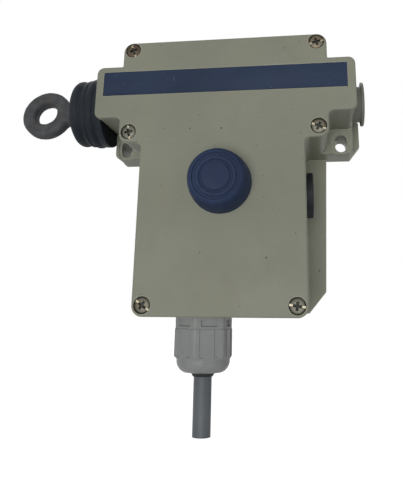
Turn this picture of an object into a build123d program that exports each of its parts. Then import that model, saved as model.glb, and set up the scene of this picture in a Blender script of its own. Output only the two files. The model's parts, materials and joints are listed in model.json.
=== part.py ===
from build123d import *
import os
from math import cos, radians, sin, sqrt

os.makedirs("parts", exist_ok=True)

# Rope pull switch, in millimetres. X is to the right as seen from the front, Y points back to
# the wall, Z is up. The origin is on the mounting face, midway between the two lug slots.

# Outline of the cover and the housing, as steps up from the lower edge
body_half = 44.0
neck_half = 56.7
arm_half = 71.5
body_bottom = -97.0
lobe_bottom = -6.7
arm_bottom = 7.7
arm_top = 37.8
tab_top = 52.0
corner_r = 5.5
arm_corner_r = 3.8
inner_corner_r = 2.8
shoulder_corner_r = 0.6

# Depths and walls
total_depth = 55.0
cover_depth = 4.0
cover_edge_r = 1.1
joint_gap = 0.5
housing_inset = 0.6
wall = 3.4
back_wall = 4.5
foot_depth = 5.0

# Rear foot that runs round the back edge
foot_step = 9.2
foot_top_step = 11.6
foot_rise = 2.0
foot_shoulder_rise = 13.8
foot_wide_step = 3.9
foot_wide_rise = 8.3
foot_chamfer_x = 6.0
foot_chamfer_z = 7.5

# Lugs with their upright slots
lug_depth = 19.0
lug_rise = 4.3
lug_inner_lap = 4.0
lug_corner_r = 3.6
lug_edge_r = 0.8
slot_edge = 7.5
slot_width = 6.6
slot_height = 10.3
slot_rim = 1.7
slot_rim_depth = 0.8

# Cover screws
screw_edge = 5.5
top_screw_drop = 4.6
mid_screw_rise = 6.0
low_screw_rise = 5.6
screw_head_r = 4.0
screw_head_h = 2.4
screw_recess_r = 4.35
screw_sunk = 0.3
screw_shank_r = 2.0
screw_length = 14.0
screw_hole_clearance = 0.08
screw_slot_width = 1.1
screw_slot_depth = 0.9
screw_cross_reach = 2.1
screw_cross_depth = 1.5
screw_boss_r = 5.2
screw_play = 0.25
screw_turns = [70, -14, 80, 24, 35, 8]
terminal_turn = 45
block_screw_turn = 20
bracket_screw_turn = 60
earth_screw_turn = 15

# Gasket and label strip
gasket_outer_inset = 0.9
gasket_width = 1.2
gasket_bite = 0.7
cover_pocket = 1.3
strip_margin = 4.5
strip_height = 13.7
strip_drop = 10.3
strip_thickness = 0.4
strip_sunk = 0.3
strip_clearance = 0.15

# Pull shaft
shaft_back = 26.0
shaft_drop = 18.3
shaft_r = 5.0
tail_r = 4.0
tail_gap = 3.9
tail_lead = 10.0
running_clearance = 0.05
shank_reach = 18.6
clip_groove = 0.6
thread_r = 10.0
thread_clearance = 0.1

# Eye
ring_reach = 40.4
ring_outer_r = 14.9
ring_bore_r = 6.6
ring_half = 4.0
ring_edge_r = 2.6
ring_bore_edge_r = 2.2
ring_turn = -8.0
shank_r = 6.6
shank_nose = 6.5
shank_nose_r = 3.6
neck_hollow_r = 5.0
web_sink = 0.5

# Left bush and right plug in the arm ends
bush_flange_r = 14.6
bush_flange = 3.0
bush_reach = 10.9
bush_barrel_r = 7.7
plug_flange_r = 12.45
plug_flange = 1.5
plug_neck_r = 10.15
plug_reach = 5.7
plug_sleeve_r = 7.0
plug_sleeve = 24.9
plug_edge_r = 0.6

# Bellows
bellows_wall = 1.5
bellows_collar_r = 20.25
bellows_collar = 5.0
bellows_crest_a_r = 20.7
bellows_groove_r = 18.5
bellows_crest_b_r = 19.4
bellows_crest_a = 8.6
bellows_groove = 12.6
bellows_crest_b = 16.6
bellows_end = 20.5
bellows_end_r = 14.5
bellows_lip = 1.5
bellows_seat_clearance = 0.3
bellows_mouth_clearance = 0.15

# Springs
main_wire_r = 1.0
main_spring_r = 6.5
main_turns = 9
reset_wire_r = 0.6
reset_spring_r = 5.8
reset_turns = 5
spring_clearance = 0.3

# Cam and what keeps it on the shaft
seat_x = -24.0
seat_thickness = 2.0
seat_r = 7.4
clip_thickness = 1.0
clip_r = 6.4
cam_left = -18.0
cam_right = 31.0
cam_half_depth = 7.0
cam_half_height = 8.0
ramp_slope = 0.25
ramp_lead = 3.0
ramp_run = 15.0
cam_pin_x = 27.5
cam_pin_r = 1.5
notch_x = 9.0
notch_width = 7.0
notch_depth = 2.2

# Contact blocks
block_x = 13.0
block_half = 9.5
block_lead = 4.5
block_drop = 17.5
block_height = 47.0
plunger_r = 2.5
plunger_depth = 14.0
plunger_gap = 0.3
terminal_dx = 4.9
terminal_low = 5.5
terminal_high = 16.0
terminal_r = 2.9
terminal_head = 2.0
terminal_shank_r = 1.5
terminal_shank = 6.0
block_screw_r = 1.5
block_screw_head_r = 2.7
block_screw_head = 1.8
block_screw_bite = 3.0
block_screw_high = 24.0
block_screw_low = 34.0
block_edge_r = 1.2

# Latch lever, its bracket and its pin
pivot_back = 14.0
pivot_z = -5.0
pin_r = 1.5
lever_half = 2.6
lever_boss_r = 4.2
lever_reach = 25.0
lever_thickness = 2.5
lever_gap = 0.4
bracket_thickness = 1.5
bracket_set = 4.5
bracket_half_height = 5.0
bracket_post_gap = 8.0
bracket_post_r = 4.4
bracket_screw_r = 1.5
bracket_screw_head_r = 2.8
bracket_screw_head = 1.8
ear_gap = 0.4
ear_thickness = 1.5

# Reset button
reset_z = -30.0
boot_base_r = 16.5
boot_top_r = 14.6
boot_height = 16.0
boot_base = 2.4
boot_wall = 1.7
boot_rim_r = 2.2
boot_outer_groove_r = 11.3
boot_inner_groove_r = 7.4
boot_groove_width = 1.6
boot_groove_depth = 0.9
reset_thread_r = 10.9
reset_flange_r = 14.2
reset_flange = 2.5
reset_barrel = 11.0
reset_pocket_r = 7.0
reset_pocket = 5.5
reset_nut_r = 14.0
reset_nut = 3.6
stem_r = 4.0
cap_r = 11.5
cap_thickness = 3.0
stem_tip_r = 1.0
stem_tip = 1.6

# Cable entries, blanking plugs and gland
entry_back = 27.0
side_entry_z = -32.3
gland_x = -12.0
blank_flange_r = 12.4
blank_flange = 4.2
blank_inner = 8.0
blank_rim = 0.5
blank_slot_depth = 1.2
blank_slot_width = 1.8
blank_slot_length = 14.0
blank_floor = 2.0
gland_thread = 11.4
gland_nose = 8.0
gland_collar = 6.5
gland_collar_flats = 26.7
gland_nut_flats = 27.2
gland_nut = 15.0
gland_dome = 6.4
gland_dome_mouth_r = 10.2
gland_window_width = 8.4
gland_window_height = 3.3
gland_window_depth = 0.8
gland_corner_r = 1.5
gland_flute_width = 2.2
gland_flute_depth = 0.3
gland_flute_offset = 3.9
gland_flute_end = 1.2
gland_dome_proud = 0.3
gland_dome_bulge = 1.1
gland_cut = 1.4
gland_turn = -7.0
gland_bore_r = 7.2
seal_r = 7.0
seal_lip_r = 6.45
seal_lip = 2.2
cable_r = 4.7
cable_entry = 1.1
cable_free = 28.6
cable_clearance = 0.05
core_r = 0.95
core_circle_r = 1.9
core_count = 3
core_rise = 20.4
core_spread_rise = 34.4
core_bend_r = 6.0

# Earth terminal
earth_x = 27.0
earth_rise = 16.4
earth_post_r = 5.0
earth_post = 17.5
earth_screw_r = 2.0
earth_head_r = 3.9
earth_head = 2.4
earth_bite = 8.0

# Values that follow from the ones above
cover_front = -total_depth
cover_back = cover_front + cover_depth
housing_front = cover_back + joint_gap
floor_y = -back_wall
arm_face = arm_half - housing_inset
side_face = body_half - housing_inset
bottom_face = body_bottom + housing_inset
cavity_inset = housing_inset + wall
gasket_thickness = joint_gap + gasket_bite
foot_half = body_half + foot_step
foot_top_half = body_half + foot_top_step
foot_low = body_bottom + foot_rise
foot_shoulder = body_bottom + foot_shoulder_rise
foot_wide_half = arm_half + foot_wide_step
foot_wide_top = arm_bottom + foot_wide_rise
foot_under = lobe_bottom + housing_inset
lug_top = arm_bottom + lug_rise
slot_x = arm_half - slot_edge
strip_length = 2 * (arm_half - strip_margin)
strip_z = arm_top - strip_drop
shaft_y = cover_front + shaft_back
shaft_z = arm_top - shaft_drop
shank_end = -arm_face - shank_reach
ring_x = -arm_face - ring_reach
bush_inner_end = -arm_face + bush_reach
plug_sleeve_end = arm_face - plug_sleeve
tail_start = plug_sleeve_end - tail_lead
tail_end = arm_face - tail_gap
block_front = shaft_y - block_lead
block_top = shaft_z - block_drop
block_bottom = block_top - block_height
pivot_y = cover_front + pivot_back
bracket_front = pivot_y + bracket_set
bracket_post_x = side_face - wall - bracket_post_gap
reset_barrel_end = cover_front + reset_barrel
reset_pocket_end = cover_front + reset_pocket
entry_y = cover_front + entry_back
gland_thread_end = bottom_face + gland_thread
cable_top = bottom_face - cable_entry
earth_z = bottom_face + earth_rise
earth_post_front = floor_y - earth_post
block_bottom_terminal = block_bottom + terminal_low
block_top_terminal = block_top - terminal_high
gland_nut_top = bottom_face - gland_collar
gland_dome_top = gland_nut_top - gland_nut
gland_mouth = gland_dome_top - gland_dome
seal_bottom = gland_mouth - seal_lip
cable_end = seal_bottom - cable_free
top_screw = (neck_half - screw_edge, tab_top - top_screw_drop)
mid_screw = (neck_half - screw_edge, lobe_bottom + mid_screw_rise)
low_screw = (body_half - screw_edge, body_bottom + low_screw_rise)
screw_places = [
    (side * place[0], place[1])
    for place in (top_screw, mid_screw, low_screw)
    for side in (-1, 1)
]


def front_plane(depth):
    return Plane((0, depth, 0), x_dir=(1, 0, 0), z_dir=(0, -1, 0))


def slab(profile, rear, front):
    """Solid between two depths, from a profile drawn in X and Z."""
    return extrude(front_plane(rear) * profile, rear - front)


def rod_x(radius, start, end, y, z):
    return Pos((start + end) / 2, y, z) * Rot(0, 90, 0) * Cylinder(radius, abs(end - start))


def rod_y(radius, start, end, x, z):
    return Pos(x, (start + end) / 2, z) * Rot(90, 0, 0) * Cylinder(radius, abs(end - start))


def rod_z(radius, start, end, x, y):
    return Pos(x, y, (start + end) / 2) * Cylinder(radius, abs(end - start))


def block(x0, x1, y0, y1, z0, z1):
    middle = Pos((x0 + x1) / 2, (y0 + y1) / 2, (z0 + z1) / 2)
    return middle * Box(abs(x1 - x0), abs(y1 - y0), abs(z1 - z0))


def turned(points, place, direction):
    """Ring or rod turned from (radius, height) points, with its axis on place and direction."""
    profile = make_face(Polyline(*points, close=True))
    return Plane(place, z_dir=direction) * revolve(Plane.XZ * profile, Axis.Z)


def corner_vertices(shape, corners):
    return [
        v for v in shape.vertices()
        if any(abs(v.X - x) < 1e-4 and abs(v.Y - y) < 1e-4 for x, y in corners)
    ]


def stepped_outline(inset):
    """The stepped T of the cover, moved inwards by inset."""
    body = body_half - inset
    neck = neck_half - inset
    arm = arm_half - inset
    low = body_bottom + inset
    lobe = lobe_bottom + inset
    under = arm_bottom + inset
    over = arm_top - inset
    top = tab_top - inset
    right = [
        (body, low), (body, lobe), (neck, lobe), (neck, under),
        (arm, under), (arm, over), (neck, over), (neck, top),
    ]
    outline = make_face(Polyline(*right, *[(-x, z) for x, z in reversed(right)], close=True))
    widest = 0.45 * min(neck - body, arm - neck, top - over, under - lobe)
    round_groups = [
        (min(max(corner_r - inset, 0.6), widest), [right[0], right[2], right[7]]),
        (min(max(arm_corner_r - inset, 0.5), widest), [right[4], right[5]]),
        (min(inner_corner_r + inset, widest), [right[1], right[3]]),
        (min(shoulder_corner_r + inset, widest), [right[6]]),
    ]
    for radius, corners in round_groups:
        both = corners + [(-x, z) for x, z in corners]
        outline = fillet(corner_vertices(outline, both), radius)
    return outline


def circles(places, radius):
    return [Pos(x, z) * Circle(radius) for x, z in places]


def foot_outline():
    right = [
        (side_face, foot_low),
        (foot_half, foot_shoulder),
        (foot_top_half, foot_under),
        (foot_wide_half - foot_chamfer_x, foot_under),
        (foot_wide_half, foot_under + foot_chamfer_z),
        (foot_wide_half, foot_wide_top),
        (arm_face - 1, foot_wide_top + foot_chamfer_x),
    ]
    return make_face(Polyline(*right, *[(-x, z) for x, z in reversed(right)], close=True))


def lug(side):
    """Ear below the arm, with its upright slot and shallow rim."""
    inner = neck_half - lug_inner_lap
    middle = Pos((inner + arm_face) / 2, (foot_under + lug_top) / 2)
    profile = middle * Rectangle(arm_face - inner, lug_top - foot_under)
    profile = fillet(corner_vertices(profile, [(arm_face, foot_under)]), lug_corner_r)
    ear = slab(profile, 0, -lug_depth)
    front = ear.faces().sort_by(Axis.Y)[0]
    ear = fillet(front.outer_wire().edges(), lug_edge_r)
    return ear if side > 0 else mirror(ear, about=Plane.YZ)


def slot_shape(extra):
    height = slot_height + 2 * extra
    width = slot_width + 2 * extra
    return Rot(0, 0, 90) * SlotOverall(height, width)


def make_housing():
    shell = slab(stepped_outline(housing_inset), 0, housing_front)
    shell += slab(foot_outline(), 0, -foot_depth)
    shell += lug(1)
    shell += lug(-1)
    cavity = stepped_outline(cavity_inset) - circles(screw_places, screw_boss_r)
    shell -= slab(cavity, floor_y, housing_front)
    for side in (-1, 1):
        at_slot = Pos(side * slot_x, 0)
        shell -= slab(at_slot * slot_shape(0), 0, -lug_depth)
        shell -= slab(at_slot * slot_shape(slot_rim), -lug_depth + slot_rim_depth, -lug_depth)
        wall_hole = thread_r + thread_clearance
        shell -= rod_x(wall_hole, side * (arm_face + 1), side * (arm_face - 2 * wall), shaft_y, shaft_z)
        shell -= rod_x(wall_hole, side * (side_face + 1), side * (side_face - wall - 1), entry_y, side_entry_z)
        post = rod_y(bracket_post_r, floor_y, bracket_front + bracket_thickness, side * bracket_post_x, pivot_z)
        hole = rod_y(
            bracket_screw_r + screw_hole_clearance,
            bracket_front + bracket_thickness + earth_bite,
            bracket_front + bracket_thickness,
            side * bracket_post_x,
            pivot_z,
        )
        shell += post - hole
        for x, z in block_screw_places(side):
            shell -= rod_y(block_screw_r + screw_hole_clearance, floor_y, floor_y + block_screw_bite, x, z)
    shell -= rod_z(thread_r + thread_clearance, bottom_face - 1, bottom_face + wall + 1, gland_x, entry_y)
    shell += rod_y(earth_post_r, floor_y, earth_post_front, earth_x, earth_z)
    shell -= rod_y(
        earth_screw_r + screw_hole_clearance, earth_post_front, earth_post_front + earth_bite, earth_x, earth_z
    )
    for x, z in screw_places:
        shell -= rod_y(
            screw_shank_r + screw_hole_clearance,
            housing_front,
            cover_front + screw_sunk + screw_head_h + screw_length + 0.5,
            x,
            z,
        )
    return shell


def make_cover():
    plate = slab(stepped_outline(0), cover_back, cover_front)
    front = plate.faces().sort_by(Axis.Y)[0]
    plate = fillet(front.outer_wire().edges(), cover_edge_r)
    inner_line = gasket_outer_inset + gasket_width
    groove = stepped_outline(gasket_outer_inset) - stepped_outline(inner_line)
    plate -= slab(groove, cover_back, cover_back - gasket_bite)
    pocket = stepped_outline(inner_line + 1) - circles(screw_places, screw_boss_r)
    pocket -= Pos(0, reset_z) * Circle(reset_nut_r + 2)
    plate -= slab(pocket, cover_back, cover_back - cover_pocket)
    for x, z in screw_places:
        plate -= rod_y(screw_recess_r, cover_front, cover_front + screw_sunk + screw_head_h, x, z)
        plate -= rod_y(screw_shank_r + screw_play, cover_front, cover_back, x, z)
    plate -= rod_y(reset_thread_r + thread_clearance, cover_front, cover_back, 0, reset_z)
    seat = Pos(0, strip_z) * Rectangle(strip_length + 2 * strip_clearance, strip_height + 2 * strip_clearance)
    plate -= slab(seat, cover_front + strip_sunk, cover_front)
    return plate


def make_gasket():
    inner_line = gasket_outer_inset + gasket_width
    band = stepped_outline(gasket_outer_inset) - stepped_outline(inner_line)
    return slab(band, housing_front, housing_front - gasket_thickness)


def make_label_strip():
    strip = Pos(0, strip_z) * Rectangle(strip_length, strip_height)
    rear = cover_front + strip_sunk
    return slab(strip, rear, rear - strip_thickness)


def machine_screw(head_r, head_h, shank_r, length, x, seat_y, z, turn):
    """Cheese head screw pointing back, with a slot and a cross recess in its head."""
    head_front = seat_y - head_h
    screw = rod_y(head_r, head_front, seat_y, x, z)
    screw = chamfer(screw.edges().group_by(Axis.Y)[0], head_r * 0.08)
    screw += rod_y(shank_r, seat_y, seat_y + length, x, z)
    scale = head_r / screw_head_r
    slot = Box(2.2 * head_r, screw_slot_depth * scale, screw_slot_width * scale)
    arm = Box(2 * screw_cross_reach * scale, screw_cross_depth * scale, screw_slot_width * scale)
    at_slot = Pos(x, head_front + screw_slot_depth * scale / 2, z) * Rot(0, turn, 0)
    at_cross = Pos(x, head_front + screw_cross_depth * scale / 2, z) * Rot(0, turn, 0)
    return screw - at_slot * slot - at_cross * arm - at_cross * Rot(0, 90, 0) * arm


def make_cover_screws():
    seat = cover_front + screw_sunk + screw_head_h
    return [
        machine_screw(screw_head_r, screw_head_h, screw_shank_r, screw_length, x, seat, z, turn)
        for (x, z), turn in zip(screw_places, screw_turns)
    ]


def rims(plate, height):
    """Edges of a plate's two faces, which lie at plus and minus height."""
    return [e for e in plate.edges() if abs(abs(e.center().Z) - height) < 1e-4]


def is_mouth(edge):
    return edge.geom_type == GeomType.CIRCLE and abs(edge.radius - ring_bore_r) < 1e-4


def make_pull_eye():
    """Forged eye: a flat ring with round edges, which two hollows lead into a round shank."""
    length = shank_end - ring_x
    web_half = shank_r - web_sink
    web_end = length - web_sink
    plan = Circle(ring_outer_r) + Pos(web_end / 2, 0) * Rectangle(web_end, 2 * web_half)
    meeting = sqrt(ring_outer_r**2 - web_half**2)
    plan = fillet(corner_vertices(plan, [(meeting, web_half), (meeting, -web_half)]), neck_hollow_r)
    plate = extrude(plan - Circle(ring_bore_r), ring_half, both=True)
    outer = [e for e in rims(plate, ring_half) if not is_mouth(e) and e.center().X < web_end - web_sink]
    plate = fillet(outer, ring_edge_r)
    plate = fillet([e for e in rims(plate, ring_half) if is_mouth(e)], ring_bore_edge_r)
    nose = ring_bore_r + ring_bore_edge_r + web_sink
    shank = turned(
        [
            (0, 0), (shank_nose_r, 0), (shank_r, shank_nose), (shank_r, length - nose), (0, length - nose),
        ],
        (nose, 0, 0),
        (1, 0, 0),
    )
    facing = Pos(ring_x, 0, 0) * Rot(90, 0, 0) * (plate + shank)
    return Pos(0, shaft_y, shaft_z) * Rot(ring_turn, 0, 0) * facing


def cam_pin_hole():
    front = shaft_y - cam_half_depth - 1
    rear = shaft_y + cam_half_depth + 1
    return rod_y(cam_pin_r + running_clearance, front, rear, cam_pin_x, shaft_z)


def make_pull_shaft():
    shaft = rod_x(shaft_r, shank_end, tail_start, shaft_y, shaft_z)
    shaft += rod_x(tail_r, tail_start, tail_end, shaft_y, shaft_z)
    clip_x = seat_x + seat_thickness
    ring = rod_x(shaft_r, clip_x, clip_x + clip_thickness, shaft_y, shaft_z)
    ring -= rod_x(shaft_r - clip_groove, clip_x, clip_x + clip_thickness, shaft_y, shaft_z)
    shaft -= ring
    shaft -= cam_pin_hole()
    return shaft


def make_shaft_bush():
    seat = -arm_face - bellows_lip
    bush = rod_x(bush_flange_r, seat - bush_flange, seat, shaft_y, shaft_z)
    bush += rod_x(thread_r, seat, -arm_face + wall + 2, shaft_y, shaft_z)
    bush += rod_x(bush_barrel_r, seat, bush_inner_end, shaft_y, shaft_z)
    bush -= rod_x(shaft_r + running_clearance, seat - bush_flange, bush_inner_end, shaft_y, shaft_z)
    return bush


def make_bellows():
    """Rubber bellows: a lip under the bush's flange, a collar, two folds and a rounded end."""
    outer = [
        (bellows_collar_r, 0),
        (bellows_collar_r, bellows_collar),
        (bellows_crest_a_r - 0.4, bellows_crest_a - 1.9),
        (bellows_crest_a_r, bellows_crest_a),
        (bellows_crest_a_r - 0.8, bellows_crest_a + 1.9),
        (bellows_groove_r, bellows_groove),
        (bellows_crest_b_r - 0.5, bellows_crest_b - 2.0),
        (bellows_crest_b_r, bellows_crest_b - 0.6),
        (bellows_crest_b_r - 0.6, bellows_crest_b + 1.4),
        (bellows_end_r, bellows_end),
    ]
    hole_r = shank_r + bellows_mouth_clearance
    flange_room_r = bush_flange_r + bellows_seat_clearance
    inner = [
        (hole_r, bellows_end),
        (hole_r, bellows_end - 2),
        (bellows_end_r - 1.5, bellows_end - bellows_wall),
        (bellows_crest_b_r - bellows_wall - 0.6, bellows_crest_b + 0.4),
        (bellows_crest_b_r - bellows_wall, bellows_crest_b - 1.2),
        (bellows_groove_r - bellows_wall, bellows_groove),
        (bellows_crest_a_r - bellows_wall, bellows_crest_a),
        (flange_room_r, bellows_lip + bush_flange + 0.5),
        (flange_room_r, bellows_lip),
        (thread_r + thread_clearance, bellows_lip),
        (thread_r + thread_clearance, 0),
    ]
    return turned(outer + inner, (-arm_face, shaft_y, shaft_z), (-1, 0, 0))


def coil(radius, wire_r, start, end, turns, place, direction):
    """Compression spring between two heights on an axis."""
    height = end - start - 2 * wire_r
    path = Helix(pitch=height / turns, height=height, radius=radius)
    section = Plane(path @ 0, z_dir=path % 0) * Circle(wire_r)
    spring = sweep(section, path=path)
    return Plane(place, z_dir=direction) * Pos(0, 0, start + wire_r) * spring


def make_main_spring():
    end = seat_x - bush_inner_end - spring_clearance
    place = (bush_inner_end, shaft_y, shaft_z)
    return coil(main_spring_r, main_wire_r, spring_clearance, end, main_turns, place, (1, 0, 0))


def make_spring_seat():
    ring = rod_x(seat_r, seat_x, seat_x + seat_thickness, shaft_y, shaft_z)
    return ring - rod_x(shaft_r + running_clearance, seat_x, seat_x + seat_thickness, shaft_y, shaft_z)


def make_shaft_clip():
    start = seat_x + seat_thickness
    clip = rod_x(clip_r, start, start + clip_thickness, shaft_y, shaft_z)
    clip -= rod_x(shaft_r - clip_groove + running_clearance, start, start + clip_thickness, shaft_y, shaft_z)
    end = start + clip_thickness
    half = 0.6 * shaft_r
    return clip - block(start - 1, end + 1, shaft_y - half, shaft_y + half, shaft_z, shaft_z + clip_r + 1)


def ramp_floor(x):
    """Height of the cam's underside above a contact plunger at rest, at x from the plunger."""
    return shaft_z - cam_half_height - ramp_slope * x


def make_cam():
    """Slide on the shaft: two ramps below press the contact plungers, a notch in front takes the latch."""
    low = shaft_z - cam_half_height + ramp_slope * ramp_lead
    front = shaft_y - cam_half_depth
    rear = shaft_y + cam_half_depth
    body = block(cam_left, cam_right, front, rear, low, shaft_z + cam_half_height)
    for plunger_x in (-block_x, block_x):
        tooth = make_face(Polyline(
            (plunger_x - ramp_lead, low + 1),
            (plunger_x - ramp_lead, ramp_floor(-ramp_lead)),
            (plunger_x + ramp_run, ramp_floor(ramp_run)),
            (plunger_x + ramp_run, low + 1),
            close=True,
        ))
        body += slab(tooth, rear, front)
    body -= rod_x(shaft_r + running_clearance, cam_left, cam_right, shaft_y, shaft_z)
    body -= block(notch_x, notch_x + notch_width, front, front + notch_depth, shaft_z - 4, shaft_z + 4)
    return body - cam_pin_hole()


def make_cam_pin():
    return rod_y(cam_pin_r, shaft_y - cam_half_depth, shaft_y + cam_half_depth, cam_pin_x, shaft_z)


def block_screw_places(side):
    return [(side * block_x, block_top - drop) for drop in (block_screw_high, block_screw_low)]


def terminal_places(side):
    return [
        (side * block_x + dx, z)
        for z in (block_bottom_terminal, block_top_terminal)
        for dx in (-terminal_dx, terminal_dx)
    ]


def make_contact_block(side):
    left = side * block_x - block_half
    right = side * block_x + block_half
    body = block(left, right, block_front, floor_y, block_bottom, block_top)
    body = fillet(body.edges().filter_by(Axis.Y), block_edge_r)
    body -= rod_z(plunger_r + running_clearance, block_top - plunger_depth - 6, block_top, side * block_x, shaft_y)
    for x, z in terminal_places(side):
        body -= rod_y(terminal_shank_r + screw_hole_clearance, block_front, block_front + terminal_shank, x, z)
    for x, z in block_screw_places(side):
        body -= rod_y(block_screw_r + screw_hole_clearance, block_front, floor_y, x, z)
    return body


def make_terminal_screws():
    length = terminal_shank - 0.3
    return [
        machine_screw(terminal_r, terminal_head, terminal_shank_r, length, x, block_front, z, terminal_turn)
        for side in (-1, 1)
        for x, z in terminal_places(side)
    ]


def make_block_screws():
    length = floor_y + block_screw_bite - block_front - 0.3
    return [
        machine_screw(
            block_screw_head_r, block_screw_head, block_screw_r, length, x, block_front, z, block_screw_turn
        )
        for side in (-1, 1)
        for x, z in block_screw_places(side)
    ]


def make_contact_plungers():
    """Two round-nosed plungers, each a little below its ramp."""
    lift = plunger_r * (sqrt(1 + ramp_slope**2) - 1) + plunger_gap
    top = ramp_floor(0) - lift
    pins = []
    for side in (-1, 1):
        pin = rod_z(plunger_r, block_top - plunger_depth, top - plunger_r, side * block_x, shaft_y)
        pins.append(pin + Pos(side * block_x, shaft_y, top - plunger_r) * Sphere(plunger_r))
    return pins


def make_bracket():
    """Steel strip on two posts, with two ears for the latch's pin."""
    reach = bracket_post_x + bracket_post_r
    rear = bracket_front + bracket_thickness
    low = pivot_z - bracket_half_height
    high = pivot_z + bracket_half_height
    strip = block(-reach, reach, bracket_front, rear, low, high)
    strip = fillet(strip.edges().filter_by(Axis.Y), 2.0)
    for side in (-1, 1):
        inner = side * (lever_half + ear_gap)
        outer = side * (lever_half + ear_gap + ear_thickness)
        ear = block(inner, outer, pivot_y - 3.5, rear, low, high)
        ear_tips = ear.edges().filter_by(Axis.X).group_by(Axis.Y)[0]
        strip += fillet(ear_tips, 3.0)
        strip -= rod_y(bracket_screw_r + 0.2, bracket_front, rear, side * bracket_post_x, pivot_z)
    hole_end = lever_half + ear_gap + ear_thickness + 1
    return strip - rod_x(pin_r + running_clearance, -hole_end, hole_end, pivot_y, pivot_z)


def make_bracket_screws():
    return [
        machine_screw(
            bracket_screw_head_r, bracket_screw_head, bracket_screw_r, bracket_thickness + earth_bite - 1,
            side * bracket_post_x, bracket_front, pivot_z, bracket_screw_turn,
        )
        for side in (-1, 1)
    ]


def make_latch_pin():
    end = lever_half + ear_gap + ear_thickness + 0.8
    return rod_x(pin_r, -end, end, pivot_y, pivot_z)


def make_latch_lever():
    """Two-armed lever: the reset stem pushes its foot back, and its nose leaves the cam's notch."""
    foot_front = pivot_y - 0.5
    foot_rear = foot_front + lever_thickness
    nose_rear = shaft_y - cam_half_depth - lever_gap
    foot_z = pivot_z - lever_reach
    side_view = make_face(Polyline(
        (foot_front, foot_z - 3.5),
        (foot_rear, foot_z - 3.5),
        (foot_rear, shaft_z - 3.2),
        (nose_rear, shaft_z - 2.2),
        (nose_rear, shaft_z + 2.2),
        (foot_rear, shaft_z + 4.2),
        (foot_front, shaft_z + 4.2),
        close=True,
    ))
    arm = Plane.YZ * side_view
    lever = extrude(arm, lever_half, both=True)
    lever += rod_x(lever_boss_r, -lever_half, lever_half, pivot_y, pivot_z)
    return lever - rod_x(pin_r + running_clearance, -lever_half, lever_half, pivot_y, pivot_z)


def make_reset_boot():
    """Rubber cap over the reset plunger, with two ring grooves in its top."""
    top = boot_height
    hub = boot_top_r - boot_wall
    outer = [
        (reset_flange_r + 0.3, 0),
        (boot_base_r - 0.5, 0),
        (boot_base_r, 0.5),
        (boot_base_r, boot_base - 0.6),
        (boot_base_r - 0.6, boot_base),
        (boot_top_r + 0.5, boot_base + 0.6),
        (boot_top_r, top - boot_rim_r),
        (boot_top_r - boot_rim_r * 0.29, top - boot_rim_r * 0.29),
        (boot_top_r - boot_rim_r, top),
    ]
    grooves = []
    for radius in (boot_outer_groove_r, boot_inner_groove_r):
        half = boot_groove_width / 2
        grooves += [(radius + half, top), (radius, top - boot_groove_depth), (radius - half, top)]
    inner = [
        (0, top),
        (0, top - boot_wall),
        (hub, top - boot_wall),
        (hub, reset_flange + 0.3),
        (reset_flange_r + 0.3, reset_flange + 0.3),
    ]
    return turned(outer + grooves + inner, (0, cover_front, reset_z), (0, -1, 0))


def make_reset_bush():
    bush = rod_y(reset_flange_r, cover_front - reset_flange, cover_front, 0, reset_z)
    bush += rod_y(reset_thread_r, cover_front, reset_barrel_end, 0, reset_z)
    bush -= rod_y(reset_pocket_r, cover_front - reset_flange, reset_pocket_end, 0, reset_z)
    return bush - rod_y(stem_r + running_clearance, reset_pocket_end, reset_barrel_end, 0, reset_z)


def make_reset_nut():
    flats = RegularPolygon(reset_nut_r, 6)
    nut = slab(Pos(0, reset_z) * flats, cover_back + reset_nut, cover_back)
    return nut - rod_y(reset_thread_r + thread_clearance, cover_back, cover_back + reset_nut, 0, reset_z)


def cap_rear():
    return cover_front - boot_height + boot_wall + 0.3 + cap_thickness


def stem_end():
    return pivot_y - 0.5 - lever_gap


def make_reset_plunger():
    front = cap_rear() - cap_thickness
    plunger = rod_y(cap_r, front, cap_rear(), 0, reset_z)
    plunger += rod_y(stem_r, cap_rear(), stem_end() - stem_tip, 0, reset_z)
    tip = turned(
        [(0, 0), (stem_r, 0), (stem_tip_r, stem_tip), (0, stem_tip)],
        (0, stem_end() - stem_tip, reset_z),
        (0, 1, 0),
    )
    clip_y = reset_barrel_end + 0.1
    plunger += tip
    groove = rod_y(stem_r, clip_y, clip_y + clip_groove, 0, reset_z)
    return plunger - (groove - rod_y(stem_r - clip_groove, clip_y, clip_y + clip_groove, 0, reset_z))


def make_reset_clip():
    clip_y = reset_barrel_end + 0.1
    clip = rod_y(stem_r + 1.6, clip_y, clip_y + clip_groove, 0, reset_z)
    clip -= rod_y(stem_r - clip_groove + running_clearance, clip_y, clip_y + clip_groove, 0, reset_z)
    return clip - block(-2.2, 2.2, clip_y - 1, clip_y + 2, reset_z - stem_r - 3, reset_z)


def make_reset_spring():
    start = cap_rear() + spring_clearance
    end = reset_pocket_end - spring_clearance
    return coil(reset_spring_r, reset_wire_r, 0, end - start, reset_turns, (0, start, reset_z), (0, 1, 0))


def make_arm_end_plug():
    """Plug in the right arm: it closes the arm and guides the shaft's tail."""
    tip = arm_face + plug_reach
    flange = rod_x(plug_flange_r, tip - plug_flange, tip, shaft_y, shaft_z)
    flange = fillet(flange.edges().group_by(Axis.X)[-1], plug_edge_r)
    plug = flange + rod_x(plug_neck_r, arm_face, tip - plug_flange, shaft_y, shaft_z)
    plug += rod_x(thread_r, arm_face - wall - 2, arm_face, shaft_y, shaft_z)
    plug += rod_x(plug_sleeve_r, plug_sleeve_end, arm_face - wall, shaft_y, shaft_z)
    return plug - rod_x(tail_r + running_clearance, plug_sleeve_end, tail_end + 1.5, shaft_y, shaft_z)


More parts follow.
